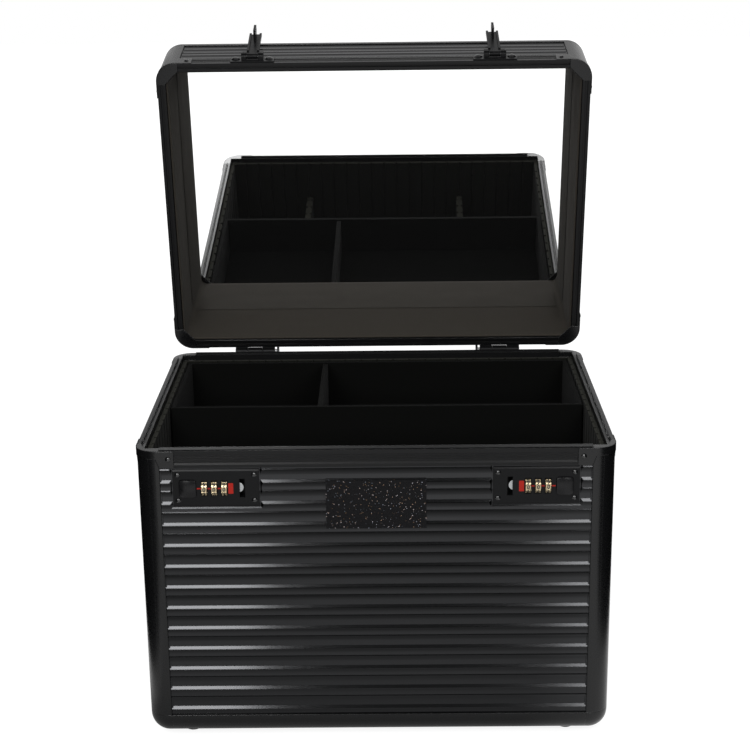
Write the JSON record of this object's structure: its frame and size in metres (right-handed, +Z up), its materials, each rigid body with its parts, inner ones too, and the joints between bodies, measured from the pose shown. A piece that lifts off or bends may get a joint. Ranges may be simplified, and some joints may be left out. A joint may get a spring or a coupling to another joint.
{
  "type": "horse grooming box",
  "caption": "Lidded grooming case with ribbed black panels in a rounded metal frame, combination locks, a mirror in the open lid, grooved lining and a lift-out tray.",
  "frame": {"origin": "on the floor under the middle of the lower box", "axes": "+X to the right seen from the front, +Y to the back where the hinges are, +Z up"},
  "size_m": [0.404, 0.3749, 0.5896],
  "materials": {
    "ribbed_panel": "black ribbed sheet, satin",
    "black_frame": "black coated extruded profile",
    "black_hardware": "black glossy plating",
    "rivet": "black domed rivets",
    "pin_steel": "bright steel pins",
    "catch_chrome": "bright plated catch",
    "dial_brass": "brass number wheels",
    "button_black": "black glossy button",
    "index_red": "red index mark",
    "badge_glitter": "plain black glitter plate",
    "foam_lining": "dense black foam with upright grooves",
    "tray_board": "black foam-covered tray",
    "lid_fabric": "grey brown felt",
    "mirror_glass": "silvered glass",
    "handle_plastic": "black grip",
    "foot_rubber": "black rubber"
  },
  "bodies": {
    "case": {"front_panel": "ribbed_panel", "back_panel": "ribbed_panel", "left_panel": "ribbed_panel", "right_panel": "ribbed_panel", "floor_board": "ribbed_panel", "corner_posts": "black_frame", "bottom_rails": "black_frame", "bottom_corners": "black_frame", "rim_rails": "black_frame", "rim_corners": "black_frame", "case_rivets": "rivet", "feet": "foot_rubber", "lining_front": "foam_lining", "lining_back": "foam_lining", "lining_left": "foam_lining", "lining_right": "foam_lining", "floor_pad": "foam_lining", "divider_left": "foam_lining", "divider_right": "foam_lining", "lock_plate_left": "black_hardware", "lock_plate_right": "black_hardware", "lock_housings": "black_hardware", "lock_axles": "pin_steel", "lock_index": "index_red", "lock_rivets": "rivet", "badge": "badge_glitter", "hinge_lower_leaves": "black_hardware", "hinge_pins": "pin_steel"},
    "lid": {"lid_panel_top": "ribbed_panel", "lid_panel_front": "ribbed_panel", "lid_panel_back": "ribbed_panel", "lid_panel_sides": "ribbed_panel", "lid_posts": "black_frame", "lid_edge_rails": "black_frame", "lid_corners": "black_frame", "lid_rim_rails": "black_frame", "lid_rim_corners": "black_frame", "lid_rivets": "rivet", "lid_lining": "lid_fabric", "mirror": "mirror_glass", "hinge_upper_leaves": "black_hardware", "hasp_bases": "black_hardware", "hasp_pins": "pin_steel", "handle_brackets": "black_hardware"},
    "hasp_left": {"hasp_left": "black_hardware"},
    "hasp_right": {"hasp_right": "black_hardware"},
    "handle": {"handle": "handle_plastic"},
    "tray": {"tray": "tray_board", "tray_divider": "tray_board"},
    "button_left": {"button_left": "button_black"},
    "button_right": {"button_right": "button_black"},
    "catch_left": {"catch_left": "catch_chrome"},
    "catch_right": {"catch_right": "catch_chrome"},
    "wheel_left_1": {"wheel_left_1": "dial_brass"},
    "wheel_left_2": {"wheel_left_2": "dial_brass"},
    "wheel_left_3": {"wheel_left_3": "dial_brass"},
    "wheel_right_1": {"wheel_right_1": "dial_brass"},
    "wheel_right_2": {"wheel_right_2": "dial_brass"},
    "wheel_right_3": {"wheel_right_3": "dial_brass"}
  },
  "joints": [
    {"name": "lid_hinge", "type": "hinge", "parent": "case", "child": "lid", "pos_m": [0, 0.1493, 0.2702], "axis": [-1, 0, 0], "range_deg": [-79.8, 0]},
    {"name": "hasp_left_hinge", "type": "hinge", "parent": "lid", "child": "hasp_left", "pos_m": [-0.1115, 0.10553, 0.56542], "axis": [-1, 0, 0], "range_deg": [-174, 0]},
    {"name": "hasp_right_hinge", "type": "hinge", "parent": "lid", "child": "hasp_right", "pos_m": [0.1115, 0.10553, 0.56542], "axis": [-1, 0, 0], "range_deg": [-174, 0]},
    {"name": "handle_hinge", "type": "hinge", "parent": "lid", "child": "handle", "pos_m": [0, 0.21164, 0.43311], "axis": [1, 0, 0], "range_deg": [0, 90]},
    {"name": "tray_lift", "type": "slide", "parent": "case", "child": "tray", "axis": [0, 0, 1], "range_m": [0, 0.12]},
    {"name": "button_left_press", "type": "slide", "parent": "case", "child": "button_left", "axis": [0, 1, 0], "range_m": [0, 0.002], "stiffness_N_per_m": 400},
    {"name": "catch_left_slide", "type": "slide", "parent": "case", "child": "catch_left", "axis": [-1, 0, 0], "range_m": [0, 0.0025]},
    {"name": "wheel_left_1_turn", "type": "hinge", "parent": "case", "child": "wheel_left_1", "pos_m": [-0.14315, -0.1414, 0.2366], "axis": [1, 0, 0], "continuous": true},
    {"name": "wheel_left_2_turn", "type": "hinge", "parent": "case", "child": "wheel_left_2", "pos_m": [-0.1348, -0.1414, 0.2366], "axis": [1, 0, 0], "continuous": true},
    {"name": "wheel_left_3_turn", "type": "hinge", "parent": "case", "child": "wheel_left_3", "pos_m": [-0.12645, -0.1414, 0.2366], "axis": [1, 0, 0], "continuous": true},
    {"name": "button_right_press", "type": "slide", "parent": "case", "child": "button_right", "axis": [0, 1, 0], "range_m": [0, 0.002], "stiffness_N_per_m": 400},
    {"name": "catch_right_slide", "type": "slide", "parent": "case", "child": "catch_right", "axis": [1, 0, 0], "range_m": [0, 0.0025]},
    {"name": "wheel_right_1_turn", "type": "hinge", "parent": "case", "child": "wheel_right_1", "pos_m": [0.14315, -0.1414, 0.2366], "axis": [1, 0, 0], "continuous": true},
    {"name": "wheel_right_2_turn", "type": "hinge", "parent": "case", "child": "wheel_right_2", "pos_m": [0.1348, -0.1414, 0.2366], "axis": [1, 0, 0], "continuous": true},
    {"name": "wheel_right_3_turn", "type": "hinge", "parent": "case", "child": "wheel_right_3", "pos_m": [0.12645, -0.1414, 0.2366], "axis": [1, 0, 0], "continuous": true}
  ],
  "couplings": [
    {"joint": "catch_left_slide", "follows": "button_left_press", "ratio": 1.25},
    {"joint": "catch_right_slide", "follows": "button_right_press", "ratio": 1.25}
  ]
}
